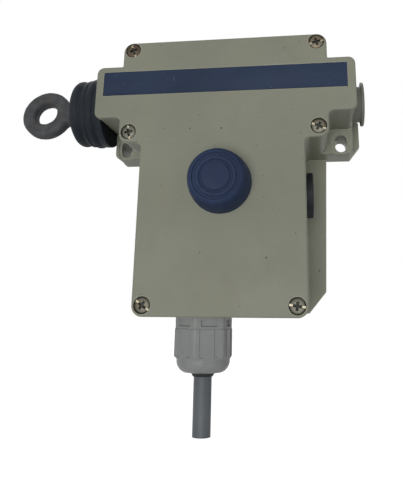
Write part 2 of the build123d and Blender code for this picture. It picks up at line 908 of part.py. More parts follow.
def make_blank_plug(side):
    """Threaded blanking plug in a side cable entry, with a driver slot."""
    face = side * side_face
    outer = face + side * blank_flange
    head = rod_x(blank_flange_r, face, outer, entry_y, side_entry_z)
    rim = head.edges().group_by(Axis.X)[-1 if side > 0 else 0]
    plug = chamfer(rim, blank_rim) + rod_x(thread_r, face - side * blank_inner, face, entry_y, side_entry_z)
    at_slot = Pos(outer, entry_y, side_entry_z)
    slot = at_slot * Box(2 * blank_slot_depth, blank_slot_width, blank_slot_length)
    cup_end = face - side * blank_floor
    cup = rod_x(thread_r - blank_floor, face - side * blank_inner, cup_end, entry_y, side_entry_z)
    return plug - slot - cup


def hexagon(flats, corner):
    shape = RegularPolygon(flats / sqrt(3), 6, rotation=30 + gland_turn)
    return fillet(shape.vertices(), corner)


def around_gland(angle):
    return Pos(gland_x, entry_y, 0) * Rot(0, 0, angle)


def make_gland_body():
    """Threaded body with a hexagon collar that has a window sunk in each flat."""
    outer = hexagon(gland_collar_flats, gland_corner_r)
    collar = Pos(gland_x, entry_y, gland_nut_top) * extrude(outer, gland_collar)
    for index in range(6):
        flat = gland_collar_flats / 2
        window = Pos(flat, 0, gland_nut_top + gland_collar / 2 - 0.3) * Box(
            2 * gland_window_depth, gland_window_width, gland_window_height
        )
        collar -= around_gland(60 * index + gland_turn) * window
    collar += rod_z(gland_collar_flats / 2 + 0.8, bottom_face - 1.0, bottom_face, gland_x, entry_y)
    body = collar + rod_z(thread_r, bottom_face, gland_thread_end, gland_x, entry_y)
    body += rod_z(thread_r, gland_nut_top - gland_nose, gland_nut_top, gland_x, entry_y)
    return body - rod_z(gland_bore_r, gland_nut_top - gland_nose, gland_thread_end, gland_x, entry_y)


def make_gland_nut():
    """Hexagon nut with broad flutes, whose corners end where a round dome cuts them."""
    outer = hexagon(gland_nut_flats, gland_corner_r)
    nut = Pos(gland_x, entry_y, gland_mouth) * extrude(outer, gland_nut + gland_dome)
    dome_r = gland_nut_flats / 2 + gland_dome_proud
    corner_r = gland_nut_flats
    dome = ThreePointArc(
        (gland_dome_mouth_r, 0), (dome_r - gland_dome_bulge, gland_dome / 3), (dome_r, gland_dome)
    )
    rest = Polyline(
        (dome_r, gland_dome), (dome_r + gland_cut, gland_dome + gland_cut), (corner_r, gland_dome + gland_cut),
        (corner_r, gland_nut + gland_dome), (0, gland_nut + gland_dome), (0, 0), (gland_dome_mouth_r, 0),
    )
    envelope = revolve(Plane.XZ * make_face(rest.edges() + dome.edges()), Axis.Z)
    nut &= Pos(gland_x, entry_y, gland_mouth) * envelope
    flute_height = gland_nut - gland_flute_end
    for index in range(6):
        for offset in (-gland_flute_offset, gland_flute_offset):
            flute = Pos(gland_nut_flats / 2, offset, gland_nut_top - flute_height / 2) * Box(
                2 * gland_flute_depth, gland_flute_width, flute_height
            )
            nut -= around_gland(60 * index + gland_turn) * flute
    nut -= rod_z(thread_r + thread_clearance, gland_nut_top - gland_nose - 0.5, gland_nut_top, gland_x, entry_y)
    return nut - rod_z(seal_r + 0.1, gland_mouth, gland_nut_top, gland_x, entry_y)


def make_gland_seal():
    """Rubber sleeve round the cable, with a tapered lip below the nut."""
    top = gland_nut_top - gland_nose - 0.5
    seal = turned(
        [
            (cable_r + cable_clearance, top), (seal_r, top), (seal_r, gland_mouth), (seal_lip_r, gland_mouth),
            (cable_r + 0.5, seal_bottom), (cable_r + cable_clearance, seal_bottom),
        ],
        (gland_x, entry_y, 0),
        (0, 0, 1),
    )
    return seal


def make_supply_cable():
    return rod_z(cable_r, cable_end, cable_top, gland_x, entry_y)


def make_cable_cores():
    """Three insulated cores from the stripped sheath up to the lower terminals."""
    targets = [terminal_places(-1)[0], terminal_places(-1)[1], terminal_places(1)[0]]
    cores = []
    for index, (x, z) in enumerate(targets):
        angle = radians(360 / core_count * index + 90)
        start_x = gland_x + core_circle_r * cos(angle)
        start_y = entry_y + core_circle_r * sin(angle)
        end_y = block_front - terminal_head - core_r - 0.3
        path = FilletPolyline(
            (start_x, start_y, cable_top),
            (start_x, start_y, bottom_face + core_rise),
            (x, end_y, bottom_face + core_spread_rise),
            (x, end_y, z - terminal_r),
            radius=[core_bend_r, core_bend_r],
        )
        section = Plane(path @ 0, z_dir=path % 0) * Circle(core_r)
        cores.append(sweep(section, path=path))
    return cores


def make_earth_screw():
    return machine_screw(
        earth_head_r, earth_head, earth_screw_r, earth_bite - 0.5, earth_x, earth_post_front, earth_z,
        earth_screw_turn,
    )


def save(name, shape):
    if isinstance(shape, list):
        shape = Compound(children=shape)
    export_step(shape, "parts/" + name + ".step")


save("housing", make_housing())
save("cover", make_cover())
save("cover_gasket", make_gasket())
save("cover_screws", make_cover_screws())
save("label_strip", make_label_strip())
save("pull_eye", make_pull_eye())
save("bellows", make_bellows())
save("pull_shaft", make_pull_shaft())
save("shaft_bush", make_shaft_bush())
save("main_spring", make_main_spring())
save("spring_seat", make_spring_seat())
save("shaft_clip", make_shaft_clip())
save("cam_slide", make_cam())
save("cam_pin", make_cam_pin())
save("contact_block_left", make_contact_block(-1))
save("contact_block_right", make_contact_block(1))
save("contact_plungers", make_contact_plungers())
save("terminal_screws", make_terminal_screws())
save("block_screws", make_block_screws())
save("latch_bracket", make_bracket())
save("bracket_screws", make_bracket_screws())
save("latch_pin", make_latch_pin())
save("latch_lever", make_latch_lever())
save("reset_boot", make_reset_boot())
save("reset_bush", make_reset_bush())
save("reset_nut", make_reset_nut())
save("reset_plunger", make_reset_plunger())
save("reset_clip", make_reset_clip())
save("reset_spring", make_reset_spring())
save("arm_end_plug", make_arm_end_plug())
save("side_plug_left", make_blank_plug(-1))
save("side_plug_right", make_blank_plug(1))
save("gland_body", make_gland_body())
save("gland_nut", make_gland_nut())
save("gland_seal", make_gland_seal())
save("supply_cable", make_supply_cable())
save("cable_cores", make_cable_cores())
save("earth_screw", make_earth_screw())
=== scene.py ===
import json
import math

import bpy
from mathutils import Matrix, Vector, noise


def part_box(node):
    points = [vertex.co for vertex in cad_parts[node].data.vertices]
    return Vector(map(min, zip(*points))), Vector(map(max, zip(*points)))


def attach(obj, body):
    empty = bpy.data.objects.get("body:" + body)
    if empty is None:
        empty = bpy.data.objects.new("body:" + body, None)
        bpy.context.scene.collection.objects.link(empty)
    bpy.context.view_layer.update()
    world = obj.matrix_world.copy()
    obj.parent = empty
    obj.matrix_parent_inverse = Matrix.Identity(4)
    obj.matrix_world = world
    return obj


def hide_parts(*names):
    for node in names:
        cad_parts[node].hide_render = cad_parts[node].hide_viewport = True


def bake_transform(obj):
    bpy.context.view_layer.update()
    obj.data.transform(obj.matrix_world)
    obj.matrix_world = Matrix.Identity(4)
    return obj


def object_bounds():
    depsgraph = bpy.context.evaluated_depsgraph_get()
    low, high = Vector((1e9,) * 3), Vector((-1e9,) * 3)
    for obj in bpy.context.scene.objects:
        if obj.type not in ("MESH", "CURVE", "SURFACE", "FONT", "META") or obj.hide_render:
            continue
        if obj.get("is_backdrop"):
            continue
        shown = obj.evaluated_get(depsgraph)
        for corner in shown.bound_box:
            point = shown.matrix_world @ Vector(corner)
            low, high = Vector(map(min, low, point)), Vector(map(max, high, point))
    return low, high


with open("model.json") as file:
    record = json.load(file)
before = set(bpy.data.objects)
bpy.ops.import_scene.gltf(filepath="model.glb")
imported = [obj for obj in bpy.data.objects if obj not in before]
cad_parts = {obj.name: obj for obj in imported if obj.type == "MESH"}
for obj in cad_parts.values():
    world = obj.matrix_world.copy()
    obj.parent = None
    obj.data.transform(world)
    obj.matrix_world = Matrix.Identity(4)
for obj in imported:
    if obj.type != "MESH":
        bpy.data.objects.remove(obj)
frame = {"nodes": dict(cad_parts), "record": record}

cad_low, cad_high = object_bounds()
nodes = frame["nodes"]

# Places in the part's frame, in metres
MM = 0.001
pull_y, pull_z = -29.0 * MM, 19.5 * MM
arm_face = 70.9 * MM
cover_front = -55.0 * MM
reset_z = -30.0 * MM
gland_x, entry_y = -12.0 * MM, -28.0 * MM
cable_top = -97.5 * MM
cable_end = -155.1 * MM
cable_r = 4.7 * MM


def rgb(red, green, blue):
    """Linear colour of an 8-bit screen colour."""
    def one(value):
        value /= 255
        return value / 12.92 if value <= 0.04045 else ((value + 0.055) / 1.055) ** 2.4
    return (one(red), one(green), one(blue), 1.0)


def shade(colour, factor):
    """The colour made lighter or darker by a factor."""
    return tuple(min(1.0, c * factor) for c in colour[:3]) + (1.0,)


# Procedural materials

class Finish:
    """A principled material whose detail comes from noise in the piece's own space."""

    def __init__(self, name, roughness=0.5, **sockets):
        self.material = bpy.data.materials.new(name)
        self.material.use_nodes = True
        self.tree = self.material.node_tree
        self.shader = self.tree.nodes["Principled BSDF"]
        self.shader.inputs["Roughness"].default_value = roughness
        for socket, value in sockets.items():
            self.shader.inputs[socket.replace("_", " ")].default_value = value
        self.place = self.add("ShaderNodeTexCoord").outputs["Object"]

    def add(self, kind, **settings):
        node = self.tree.nodes.new(kind)
        for name, value in settings.items():
            setattr(node, name, value)
        return node

    def put(self, value, socket):
        if isinstance(value, bpy.types.NodeSocket):
            self.tree.links.new(value, socket)
        else:
            socket.default_value = value

    def stretched(self, scale, turn=(0, 0, 0)):
        mapping = self.add("ShaderNodeMapping")
        self.put(self.place, mapping.inputs["Vector"])
        mapping.inputs["Rotation"].default_value = turn
        mapping.inputs["Scale"].default_value = scale
        return mapping.outputs["Vector"]

    def noise(self, scale, detail=3.0, rough=0.55, place=None):
        node = self.add("ShaderNodeTexNoise")
        self.put(place or self.place, node.inputs["Vector"])
        node.inputs["Scale"].default_value = scale
        node.inputs["Detail"].default_value = detail
        node.inputs["Roughness"].default_value = rough
        return node.outputs["Fac"]

    def step(self, value, low, high, to_low=0.0, to_high=1.0):
        node = self.add("ShaderNodeMapRange")
        node.clamp = True
        self.put(value, node.inputs["Value"])
        node.inputs["From Min"].default_value = low
        node.inputs["From Max"].default_value = high
        node.inputs["To Min"].default_value = to_low
        node.inputs["To Max"].default_value = to_high
        return node.outputs["Result"]

    def math(self, operation, a, b):
        node = self.add("ShaderNodeMath", operation=operation)
        self.put(a, node.inputs[0])
        self.put(b, node.inputs[1])
        return node.outputs[0]

    def mix(self, factor, a, b):
        node = self.add("ShaderNodeMix", data_type="RGBA")
        self.put(factor, node.inputs["Factor"])
        self.put(a, node.inputs["A"])
        self.put(b, node.inputs["B"])
        return node.outputs["Result"]

    def specks(self, scale, size, share, place=None):
        """Scattered dots: few of the cells carry one."""
        cells = self.add("ShaderNodeTexVoronoi")
        self.put(place or self.place, cells.inputs["Vector"])
        cells.inputs["Scale"].default_value = scale
        split = self.add("ShaderNodeSeparateColor")
        self.put(cells.outputs["Color"], split.inputs["Color"])
        near = self.step(cells.outputs["Distance"], size, size * 0.6)
        chosen = self.step(split.outputs[0], 1 - share, 1 - share * 0.9)
        return self.math("MULTIPLY", near, chosen)

    def edges(self, radius=0.0007):
        """Share of worn paint and painted edge highlight near an edge, where the rounded normal leaves
        the true one.
        """
        rounded = self.add("ShaderNodeBevel", samples=6)
        rounded.inputs["Radius"].default_value = radius
        turn = self.add("ShaderNodeVectorMath", operation="DOT_PRODUCT")
        self.put(rounded.outputs["Normal"], turn.inputs[0])
        self.put(self.add("ShaderNodeNewGeometry").outputs["True Normal"], turn.inputs[1])
        return self.step(turn.outputs["Value"], 0.985, 0.9)

    def surface(self, colour=None, rough=None, height=None, depth=0.0001, strength=1.0, edge=0.0):
        if colour is not None:
            self.put(colour, self.shader.inputs["Base Color"])
        if rough is not None:
            self.put(rough, self.shader.inputs["Roughness"])
        normal = None
        if edge:
            bevel = self.add("ShaderNodeBevel", samples=8)
            bevel.inputs["Radius"].default_value = edge
            normal = bevel.outputs["Normal"]
        if height is not None:
            bump = self.add("ShaderNodeBump")
            bump.inputs["Strength"].default_value = strength
            bump.inputs["Distance"].default_value = depth
            self.put(height, bump.inputs["Height"])
            if normal:
                self.put(normal, bump.inputs["Normal"])
            normal = bump.outputs["Normal"]
        if normal:
            self.put(normal, self.shader.inputs["Normal"])
        return self.material


def painted(name, colour, wear_and_edge_highlight):
    """Sprayed enamel on a casting: fine peel, specks of dirt, thin scratches and a light edge that is
    partly worn paint and partly a painted highlight.
    """
    f = Finish(name, 0.5, Specular_IOR_Level=0.2)
    base = f.mix(f.step(f.noise(16, 2), 0.35, 0.65), shade(colour, 0.95), shade(colour, 1.05))
    grime = f.step(f.noise(70, 5, 0.7), 0.52, 0.75, 0.0, 0.22)
    base = f.mix(grime, base, shade(colour, 0.68))
    warm = f.step(f.noise(28, 3, place=f.stretched((1, 1, 0.4))), 0.5, 0.72, 0.0, 0.3)
    base = f.mix(warm, base, (colour[0] * 1.1, colour[1] * 1.05, colour[2] * 0.86, 1))
    dots = f.math("MAXIMUM", f.specks(260, 0.1, 0.3), f.specks(120, 0.09, 0.25))
    base = f.mix(f.math("MULTIPLY", dots, 0.75), base, rgb(62, 58, 48))
    lines = f.step(f.noise(60, 2, place=f.stretched((1, 1, 22), (0, 0.5, 0))), 0.68, 0.71)
    lines = f.math("MULTIPLY", lines, f.step(f.noise(11, 1), 0.55, 0.6))
    base = f.mix(f.math("MULTIPLY", lines, 0.14), base, wear_and_edge_highlight)
    # Light edge: partly worn paint, partly a painted highlight where the edge would catch light.
    base = f.mix(f.math("MULTIPLY", f.edges(0.0009), 0.75), base, wear_and_edge_highlight)
    rough = f.step(f.noise(40, 4, 0.6), 0.3, 0.7, 0.42, 0.58)
    peel = f.math("ADD", f.noise(900, 2), f.math("MULTIPLY", dots, -0.6))
    return f.surface(base, rough, peel, 0.00008, 0.35, edge=0.0005)


def moulded(name, colour, rough=0.42, grain=0.25, dirt=0.2):
    """Moulded plastic: soft tone, faint grain, darker patches of dust and pale specks."""
    f = Finish(name, rough, Specular_IOR_Level=0.15)
    base = f.mix(f.step(f.noise(45, 3), 0.35, 0.65), shade(colour, 0.92), shade(colour, 1.08))
    base = f.mix(f.step(f.noise(220, 4, 0.7), 0.55, 0.8, 0.0, dirt), base, shade(colour, 0.55))
    base = f.mix(f.math("MULTIPLY", f.specks(420, 0.12, 0.3), 0.5), base, shade(colour, 1.5))
    spread = f.step(f.noise(130, 3), 0.3, 0.7, rough - 0.07, rough + 0.1)
    return f.surface(base, spread, f.noise(1500, 2), 0.00006, grain, edge=0.0004)


def rubber(name, colour, rough=0.6, dust=0.25, dust_colour=None):
    """Weathered rubber with a matt bloom and fine pores."""
    f = Finish(name, rough, Specular_IOR_Level=0.1)
    base = f.mix(f.step(f.noise(60, 4, 0.6), 0.4, 0.65), shade(colour, 0.85), shade(colour, 1.12))
    pale = dust_colour or shade(colour, 2.2)
    base = f.mix(f.step(f.noise(160, 5, 0.75), 0.5, 0.8, 0.0, dust), base, pale)
    base = f.mix(f.math("MULTIPLY", f.specks(520, 0.12, 0.25), 0.45), base, pale)
    spread = f.step(f.noise(90, 3), 0.3, 0.7, rough - 0.1, rough + 0.12)
    return f.surface(base, spread, f.noise(1100, 4, 0.7), 0.00012, 0.4, edge=0.0003)


def metal(name, colour, rough=0.35, metallic=0.85, stain=None, stain_share=0.4, pits=0.0):
    """Plated or bare metal, stained unevenly, with dull and bright patches."""
    f = Finish(name, rough, Metallic=metallic)
    base = f.mix(f.step(f.noise(150, 3), 0.35, 0.65), shade(colour, 0.85), shade(colour, 1.12))
    if stain:
        patch = f.step(f.noise(90, 5, 0.7), 0.62 - 0.25 * stain_share, 0.72 - 0.1 * stain_share)
        base = f.mix(f.math("MULTIPLY", patch, 0.7), base, stain)
    base = f.mix(f.math("MULTIPLY", f.specks(700, 0.15, 0.3), 0.6), base, shade(colour, 0.4))
    spread = f.step(f.noise(240, 4), 0.3, 0.7, rough - 0.08, rough + 0.18)
    height = f.noise(1400, 3)
    if pits:
        height = f.math("ADD", height, f.math("MULTIPLY", f.noise(420, 5, 0.75), 2.5))
    return f.surface(base, spread, height, 0.0001, 0.3 + pits, edge=0.0003)


def strip_finish(name, colour):
    """Blue film: satin, with faint wiping marks and a few light nicks."""
    f = Finish(name, 0.4, Specular_IOR_Level=0.08)
    base = f.mix(f.step(f.noise(18, 2), 0.35, 0.65), shade(colour, 0.88), shade(colour, 1.14))
    haze = f.step(f.noise(30, 4, 0.6, place=f.stretched((0.3, 1, 2))), 0.5, 0.75, 0.0, 0.1)
    base = f.mix(haze, base, rgb(92, 100, 116))
    nick = f.step(f.noise(90, 2, place=f.stretched((9, 1, 1), (0, 0.9, 0))), 0.72, 0.74, 0.0, 0.5)
    base = f.mix(nick, base, rgb(120, 124, 128))
    base = f.mix(f.math("MULTIPLY", f.specks(330, 0.1, 0.35), 0.6), base, rgb(110, 112, 112))
    spread = f.step(f.noise(60, 3), 0.3, 0.7, 0.34, 0.5)
    return f.surface(base, spread, f.noise(700, 2), 0.00004, 0.2, edge=0.0002)


def sheath(name, colour):
    """Extruded sheath: faint lengthwise lines and handling marks."""
    f = Finish(name, 0.42, Specular_IOR_Level=0.2)
    base = f.mix(f.step(f.noise(60, 3), 0.35, 0.65), shade(colour, 0.93), shade(colour, 1.08))
    lines = f.noise(350, 2, place=f.stretched((1, 1, 0.03)))
    base = f.mix(f.step(lines, 0.5, 0.75, 0.0, 0.2), base, shade(colour, 0.75))
    base = f.mix(f.step(f.noise(200, 5, 0.75), 0.6, 0.8, 0.0, 0.35), base, shade(colour, 0.55))
    return f.surface(base, f.step(f.noise(90, 3), 0.3, 0.7, 0.38, 0.55), lines, 0.00008, 0.35)


case_paint = rgb(127, 129, 115)
finishes = {
    # The second colour of each paint is for scratches and for a light edge that is partly a painted
    # highlight.
    "painted_case": painted("case_paint", case_paint, rgb(168, 168, 152)),
    "painted_plug": painted("plug_paint", rgb(101, 103, 95), rgb(140, 140, 128)),
    "seal_rubber": rubber("seal_rubber", rgb(50, 52, 55)),
    "bellows_rubber": rubber("bellows_rubber", rgb(38, 43, 49), 0.6, 0.14, rgb(66, 72, 75)),
    "blue_rubber": rubber("blue_rubber", rgb(42, 54, 80), 0.55, 0.12, rgb(72, 84, 106)),
    "zinc_steel": metal("zinc_steel", rgb(98, 97, 87), 0.4, 0.7, rgb(104, 86, 54), 0.5),
    "forged_steel": metal("forged_steel", rgb(63, 65, 67), 0.75, 0.2, rgb(74, 64, 56), 0.3, pits=0.3),
    "steel": metal("steel", rgb(150, 152, 154), 0.32, 0.95),
    "brass": metal("brass", rgb(176, 142, 84), 0.34, 0.95, rgb(120, 90, 50), 0.3),
    "blue_strip": strip_finish("blue_strip", rgb(43, 54, 74)),
    "inner_plastic": moulded("inner_plastic", rgb(206, 202, 190)),
    "contact_plastic": moulded("contact_plastic", rgb(58, 60, 62)),
    "black_plastic": moulded("black_plastic", rgb(36, 39, 42), 0.46),
    "grey_nylon": moulded("grey_nylon", rgb(134, 136, 135), 0.44, 0.2, 0.32),
    "cable_sheath": sheath("cable_sheath", rgb(91, 96, 100)),
    "core_sheath": moulded("core_sheath", rgb(88, 62, 44)),
}
filler = moulded("cable_filler", rgb(70, 74, 76))
# The slot's cut faces get a lighter zinc: a painted highlight, as if they caught the light.
slot_highlight_zinc = metal("slot_zinc_painted_highlight", rgb(158, 151, 130), 0.4, 0.75, rgb(120, 104, 74), 0.35)
# The cross recess gets a dark zinc: painted shade for the hollow.
recess_shade_zinc = metal("recess_zinc_painted_shade", rgb(48, 48, 44), 0.6, 0.4)
rusty_zinc = metal("rusty_zinc", rgb(96, 84, 68), 0.6, 0.35, rgb(58, 42, 32), 0.8, pits=0.4)


slot_of = {row["node"]: row["material_slot"] for row in frame["record"]["subparts"]}


def dress(piece, slot_name):
    piece.data.materials.clear()
    piece.data.materials.append(finishes[slot_name])
    return piece


# Building of meshes

def piece_from(name, vertices, faces, smooth=True):
    mesh = bpy.data.meshes.new(name)
    mesh.from_pydata([tuple(v) for v in vertices], [], faces)
    mesh.validate()
    mesh.update()
    if smooth:
        mesh.shade_smooth()
    piece = bpy.data.objects.new(name, mesh)
    bpy.context.scene.collection.objects.link(piece)
    return piece


def axes_for(direction):
    """Two unit vectors square to a direction."""
    direction = Vector(direction).normalized()
    first = direction.orthogonal().normalized()
    return direction, first, direction.cross(first)


def lathe(name, profile, origin, direction, steps=144):
    """Turned mesh from (radius, height) points in millimetres along a direction."""
    along, first, second = axes_for(direction)
    vertices, faces, rings = [], [], []
    for radius, height in profile:
        centre = Vector(origin) + along * height * MM
        if radius == 0:
            rings.append([len(vertices)])
            vertices.append(centre)
            continue
        start = len(vertices)
        for index in range(steps):
            angle = math.tau * index / steps
            spoke = first * math.cos(angle) + second * math.sin(angle)
            vertices.append(centre + spoke * radius * MM)
        rings.append(list(range(start, start + steps)))
    for low, high in zip(rings, rings[1:]):
        for index in range(steps):
            after = (index + 1) % steps
            corners = [low[index % len(low)], low[after % len(low)]]
            corners += [high[after % len(high)], high[index % len(high)]]
            unique = list(dict.fromkeys(corners))
            if len(unique) > 2:
                faces.append(unique)
    return piece_from(name, vertices, faces)


def tube(name, points, radius, sides=14):
    """Round wire that follows points, with flat ends."""
    vertices, faces = [], []
    points = [Vector(p) for p in points]
    normal = None
    for index, point in enumerate(points):
        before = points[max(index - 1, 0)]
        after = points[min(index + 1, len(points) - 1)]
        along = (after - before).normalized()
        if normal is None:
            normal = along.orthogonal().normalized()
        normal = (normal - along * normal.dot(along)).normalized()
        other = along.cross(normal)
        for side in range(sides):
            angle = math.tau * side / sides
            vertices.append(point + (normal * math.cos(angle) + other * math.sin(angle)) * radius)
    for index in range(len(points) - 1):
        for side in range(sides):
            a = index * sides + side
            b = index * sides + (side + 1) % sides
            faces.append((a, b, b + sides, a + sides))
    faces.append(list(reversed(range(sides))))
    faces.append(list(range(len(vertices) - sides, len(vertices))))
    return piece_from(name, vertices, faces)


def round_corners(profile, radius, steps=5):
    """A profile whose corners, apart from its ends, become short curves of about that radius."""
    points = [Vector(p) for p in profile]
    rounded = [points[0]]
    for before, corner, after in zip(points, points[1:], points[2:]):
        to_before, to_after = before - corner, after - corner
        reach = min(radius, to_before.length * 0.45, to_after.length * 0.45)
        start = corner + to_before.normalized() * reach
        end = corner + to_after.normalized() * reach
        for index in range(steps + 1):
            t = index / steps
            rounded.append(start * (1 - t) ** 2 + corner * 2 * t * (1 - t) + end * t ** 2)
    rounded.append(points[-1])
    return [tuple(p) for p in rounded]


def helix(centre, direction, radius, low, high, turns, steps=40):
    """Points of a coil between two heights, in metres."""
    along, first, second = axes_for(direction)
    count = int(turns * steps)
    points = []
    for index in range(count + 1):
        angle = math.tau * turns * index / count
        spoke = first * math.cos(angle) + second * math.sin(angle)
        points.append(Vector(centre) + spoke * radius + along * (low + (high - low) * index / count))
    return points


# CAD nodes that keep their own shape

for name, node in nodes.items():
    dress(node, slot_of[name])

# Bellows: collar on the arm's face, two folds and a rounded end on the shank

# Points are (radius, distance from the arm's face) in millimetres
bellows_collar = [(10.1, 0.1), (20.05, 0.1), (20.3, 0.6), (20.3, 3.2), (19.6, 4.0)]
bellows_folds = [
    (19.7, 4.8), (20.5, 5.8), (20.7, 7.2), (20.5, 8.4), (19.5, 9.3),
    (19.5, 9.9), (20.0, 10.7), (19.6, 12.0), (18.7, 12.8),
]
bellows_end = [
    (18.7, 13.4), (19.4, 14.6), (19.7, 16.0), (19.5, 17.4), (18.7, 18.7), (17.0, 19.7), (14.0, 20.3),
    (9.5, 20.5), (7.4, 20.5), (6.8, 20.0), (6.8, 18.7),
]
bellows_corner = 0.5

bellows_profile = round_corners(bellows_collar + bellows_folds + bellows_end, bellows_corner)
bellows = lathe("bellows_skin", bellows_profile, (-arm_face, pull_y, pull_z), (-1, 0, 0))
dress(bellows, "bellows_rubber")
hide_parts("bellows")
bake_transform(bellows)

# Boot over the reset button, with two ring grooves in its top

# Points are (radius, height above the cover) in millimetres
boot_wall = [
    (14.6, 0.05), (16.2, 0.05), (16.35, 0.5), (16.2, 1.0), (15.95, 1.25), (16.2, 1.5), (16.15, 3.0),
    (15.95, 5.5), (15.6, 8.5), (15.15, 11.2), (14.7, 13.2), (14.0, 14.8), (13.0, 15.75),
]
outer_groove = [(12.2, 15.95), (11.95, 15.8), (11.8, 15.15), (10.6, 15.15), (10.45, 15.75), (10.2, 15.95)]
inner_groove = [(8.7, 15.95), (8.45, 15.75), (8.3, 15.1), (7.35, 15.1), (7.2, 15.75), (7.0, 15.9)]
boot_centre = [(3.0, 15.95), (0.0, 15.95)]
boot_corner = 0.2

boot_profile = round_corners(boot_wall + outer_groove + inner_groove + boot_centre, boot_corner)
boot = lathe("reset_boot_skin", boot_profile, (0, cover_front, reset_z), (0, -1, 0))
dress(boot, "blue_rubber")
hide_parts("reset_boot")
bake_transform(boot)

# Cover screws: domed head with a slot and a cross, on its shank

neck_screw, lobe_screw, foot_screw = (51.2, 47.4), (51.2, -0.7), (38.5, -91.4)
screw_turns = (70, -14, 80, 24, 35, 8)
screw_finishes = [rusty_zinc] + [finishes["zinc_steel"]] * 5
screw_seat = cover_front + 2.7 * MM
screw_head = 2.5
screw_slot = (9 * MM, 1.9 * MM, 1.25 * MM)
cross_long, cross_deep, cross_wide = 4.4 * MM, 3.4 * MM, 1.3 * MM
screw_profile = [
    (0, -14), (1.6, -14), (2, -13.4), (2, 0), (3.9, 0), (4.12, 0.2), (4.12, 1.3), (4.02, 1.65),
    (3.7, 1.95), (3.1, 2.2), (2.2, 2.38), (1.1, 2.47), (0, screw_head),
]
smooth_angle = 35


def cutter(name, size, centre, turn, material):
    """Box that is cut out of a screw's head, and whose finish shows on the cut."""
    vertices = [Vector((x, y, z)) * 0.5 for x in (-1, 1) for y in (-1, 1) for z in (-1, 1)]
    faces = [(0, 1, 3, 2), (4, 6, 7, 5), (0, 4, 5, 1), (2, 3, 7, 6), (0, 2, 6, 4), (1, 5, 7, 3)]
    spin = Matrix.Rotation(math.radians(turn), 3, "Y")
    corners = [spin @ Vector([a * b for a, b in zip(v, size)]) + centre for v in vertices]
    box = piece_from(name, corners, faces, smooth=False)
    box.data.materials.append(material)
    return box


def cover_screw(name, x, z, turn, head_finish):
    head = lathe(name, screw_profile, (x, screw_seat, z), (0, -1, 0), steps=64)
    head.data.materials.append(head_finish)
    front = Vector((x, screw_seat - screw_head * MM, z))
    cuts = [
        # The slot's faces carry a painted highlight.
        cutter("slot", screw_slot, front, turn, slot_highlight_zinc),
        # The cross recess faces carry painted shade.
        cutter("cross_a", (cross_long, cross_deep, cross_wide), front, turn, recess_shade_zinc),
        cutter("cross_b", (cross_wide, cross_deep, cross_long), front, turn, recess_shade_zinc),
    ]
    for cut in cuts:
        change = head.modifiers.new(cut.name, "BOOLEAN")
        change.operation = "DIFFERENCE"
        change.solver = "EXACT"
        change.material_mode = "TRANSFER"
        change.object = cut
    graph = bpy.context.evaluated_depsgraph_get()
    final = bpy.data.meshes.new_from_object(head.evaluated_get(graph))
    head.modifiers.clear()
    head.data = final
    head.data.set_sharp_from_angle(angle=math.radians(smooth_angle))
    for cut in cuts:
        bpy.data.objects.remove(cut)
    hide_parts("cover_screws")
    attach(head, "case")


screw_spots = [(side * x, z) for x, z in (neck_screw, lobe_screw, foot_screw) for side in (-1, 1)]
for index, ((x, z), turn, finish) in enumerate(zip(screw_spots, screw_turns, screw_finishes)):
    cover_screw(f"cover_screw_{index}", x * MM, z * MM, turn, finish)

# Coil springs, which stretch between the case and the part they push

main_wire_r, main_coil_r, main_turns = 1.0 * MM, 6.5 * MM, 9
reset_wire_r, reset_coil_r, reset_turns = 0.6 * MM, 5.8 * MM, 5

low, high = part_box("main_spring")
ends = (low.x + main_wire_r, high.x - main_wire_r)
points = helix((0, pull_y, pull_z), (1, 0, 0), main_coil_r, *ends, main_turns)
main_spring = dress(tube("main_spring_wire", points, main_wire_r), "steel")
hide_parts("main_spring")
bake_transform(main_spring)

low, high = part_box("reset_spring")
ends = (low.y + reset_wire_r, high.y - reset_wire_r)
points = helix((0, 0, reset_z), (0, 1, 0), reset_coil_r, *ends, reset_turns)
reset_spring = dress(tube("reset_spring_wire", points, reset_wire_r), "steel")
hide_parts("reset_spring")
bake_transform(reset_spring)

# Supply cable, with its cut end

cable_runs = 4
core_count, core_circle_r, first_core_angle = 3, 1.75 * MM, 90
cut_profile = [(4.68, 0.0), (4.6, 0.06), (3.5, 0.1), (3.4, 0.3), (0, 0.3)]
core_profile = [(1.5, 0.3), (1.5, 0.05), (0.85, 0.02), (0.8, 0.1), (0, 0.1)]

path = bpy.data.curves.new("supply_cable_sheath", "CURVE")
path.dimensions = "3D"
spline = path.splines.new("NURBS")
cable_fall = cable_end - cable_top
route = [(gland_x, entry_y, cable_top + cable_fall * step / cable_runs) for step in range(cable_runs + 1)]
spline.points.add(len(route) - 1)
for point, place in zip(spline.points, route):
    point.co = (*place, 1)
spline.use_endpoint_u = True
spline.order_u = 3
path.bevel_depth = cable_r
path.bevel_resolution = 10
path.resolution_u = 16
path.use_fill_caps = False
cable = bpy.data.objects.new("supply_cable_sheath", path)
bpy.context.scene.collection.objects.link(cable)
path.materials.append(finishes["cable_sheath"])
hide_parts("supply_cable")
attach(cable, "case")

end_face = lathe("cable_cut_end", cut_profile, (gland_x, entry_y, cable_end), (0, 0, 1), steps=64)
end_face.data.materials.append(filler)
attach(end_face, "case")

for index in range(core_count):
    angle = math.tau * index / core_count + math.radians(first_core_angle)
    x, y = gland_x + core_circle_r * math.cos(angle), entry_y + core_circle_r * math.sin(angle)
    core = lathe(f"cable_core_end_{index}", core_profile, (x, y, cable_end), (0, 0, 1), steps=40)
    core.data.materials.append(finishes["core_sheath"])
    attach(core, "case")

# Pull eye: the ring and its shank flow into each other, under a slightly uneven forged skin

skin_voxel = 0.35 * MM
forging_waves, forging_wave_height = 300, 0.1


